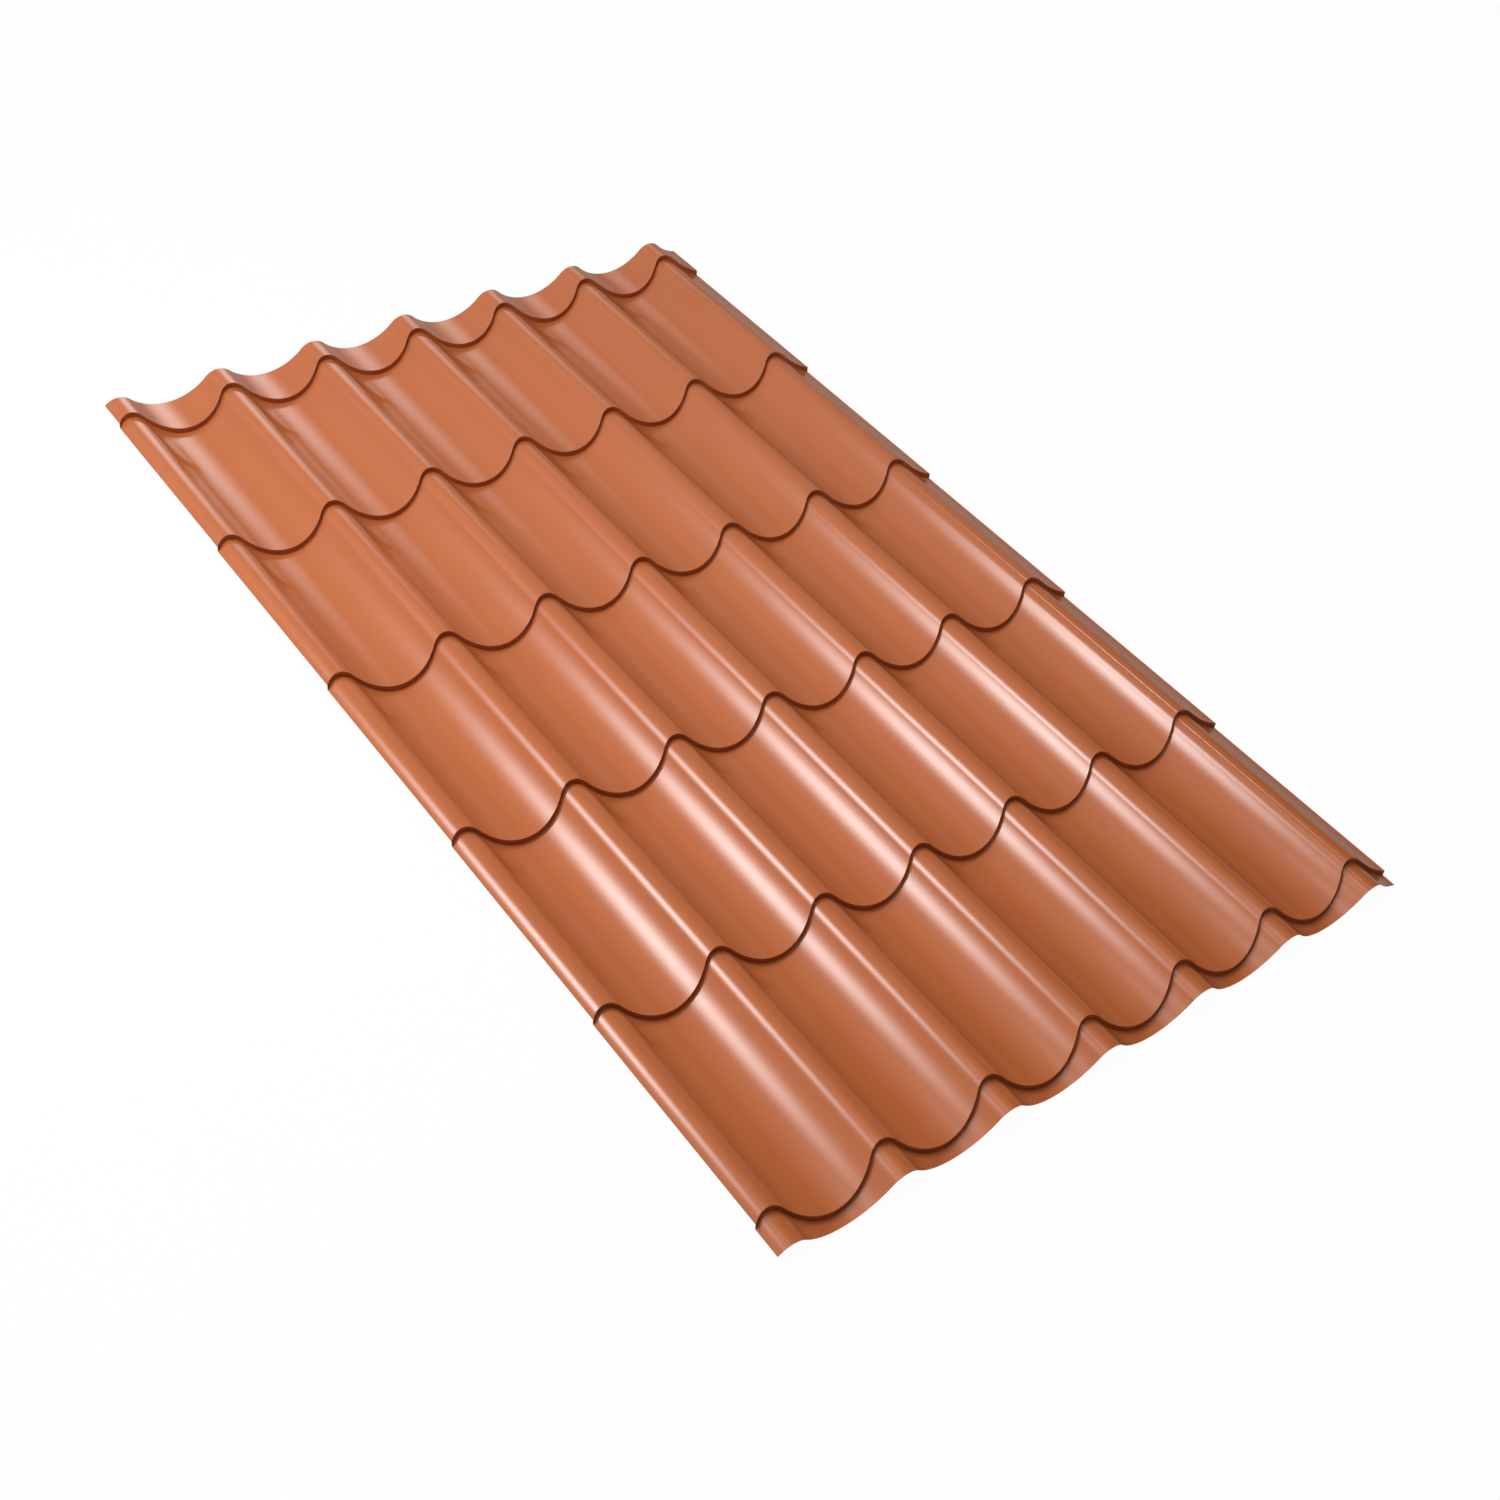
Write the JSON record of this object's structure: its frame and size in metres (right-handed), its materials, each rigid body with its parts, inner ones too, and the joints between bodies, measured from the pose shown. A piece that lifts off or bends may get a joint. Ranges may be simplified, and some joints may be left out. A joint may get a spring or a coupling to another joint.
{
  "type": "tile effect roofing sheet",
  "caption": "Pressed metal roofing sheet with rounded waves across it and stepped tile courses along it, cut straight on all edges, for covering a pitched roof.",
  "frame": {"origin": "middle of the bounding box's bottom face, on the floor that the sheet lies on", "axes": "+X across the sheet from the over-lapping edge to the under-lapping edge, +Y up the roof slope from the eave edge to the top edge, +Z out of the roof"},
  "size_m": [1.1872, 1.9036, 0.0477],
  "materials": {
    "terracotta_coating": "satin polyester coating"
  },
  "bodies": {
    "root": {"tile_roofing_sheet": "terracotta_coating"}
  },
  "joints": []
}
